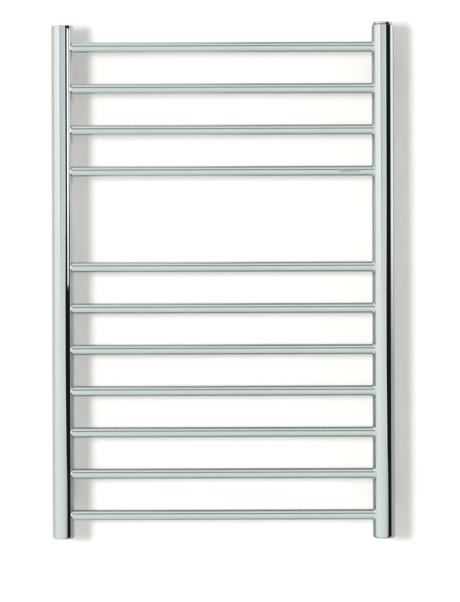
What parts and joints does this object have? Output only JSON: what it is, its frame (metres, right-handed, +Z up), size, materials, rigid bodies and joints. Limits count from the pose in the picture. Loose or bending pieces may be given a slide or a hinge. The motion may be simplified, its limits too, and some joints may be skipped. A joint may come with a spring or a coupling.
{
  "type": "towel warmer rack",
  "caption": "Wall-hung ladder towel warmer with two upright round tubes, horizontal round bars in two groups, an air vent cap and water ports at the feet.",
  "frame": {"origin": "on the wall's surface, at the centre of the rectangle that the four bracket stems make", "axes": "+Z up along the posts, -Y out of the wall to the front, +X to the right seen from the front"},
  "size_m": [0.534, 0.085, 0.8047],
  "materials": {
    "chrome": "bright polished plate",
    "bracket_chrome": "polished plate, turned",
    "black_steel": "black oxide",
    "nickel_brass": "nickel plated, turned",
    "seal_rubber": "matt black moulding"
  },
  "bodies": {
    "wall_stems": {"wall_stem_upper_left": "bracket_chrome", "wall_stem_upper_right": "bracket_chrome", "wall_stem_lower_left": "bracket_chrome", "wall_stem_lower_right": "bracket_chrome"},
    "rack": {"left_post": "chrome", "right_post": "chrome", "left_top_cap": "chrome", "right_top_cap": "chrome", "left_port_cap": "chrome", "right_port_cap": "chrome", "bar_01": "chrome", "bar_02": "chrome", "bar_03": "chrome", "bar_04": "chrome", "bar_05": "chrome", "bar_06": "chrome", "bar_07": "chrome", "bar_08": "chrome", "bar_09": "chrome", "bar_10": "chrome", "bar_11": "chrome", "vent_plug": "nickel_brass", "vent_plug_seal": "seal_rubber", "socket_upper_left": "bracket_chrome", "socket_upper_right": "bracket_chrome", "socket_lower_left": "bracket_chrome", "socket_lower_right": "bracket_chrome", "grub_screw_upper_left": "black_steel", "grub_screw_upper_right": "black_steel", "grub_screw_lower_left": "black_steel", "grub_screw_lower_right": "black_steel"},
    "bleed_seal": {"bleed_screw_seal": "seal_rubber"},
    "bleed_screw": {"bleed_screw": "nickel_brass"},
    "vent_cap": {"vent_cap": "chrome", "vent_cap_gasket": "seal_rubber"}
  },
  "joints": [
    {"name": "stand_off_slide", "type": "slide", "parent": "wall_stems", "child": "rack", "axis": [0, -1, 0], "range_m": [-0.006, 0.01]},
    {"name": "vent_cap_lift", "type": "slide", "parent": "rack", "child": "vent_cap", "axis": [0, 0, 1], "range_m": [0, 0.03]},
    {"name": "bleed_travel", "type": "slide", "parent": "rack", "child": "bleed_seal", "axis": [0, 0, 1], "range_m": [0, 0.001]},
    {"name": "bleed_turn", "type": "hinge", "parent": "bleed_seal", "child": "bleed_screw", "pos_m": [0.25, -0.068, 0.4], "axis": [0, 0, 1], "range_deg": [0, 360]}
  ],
  "couplings": [
    {"joint": "bleed_turn", "follows": "bleed_travel", "rad_per_m": 6283}
  ]
}
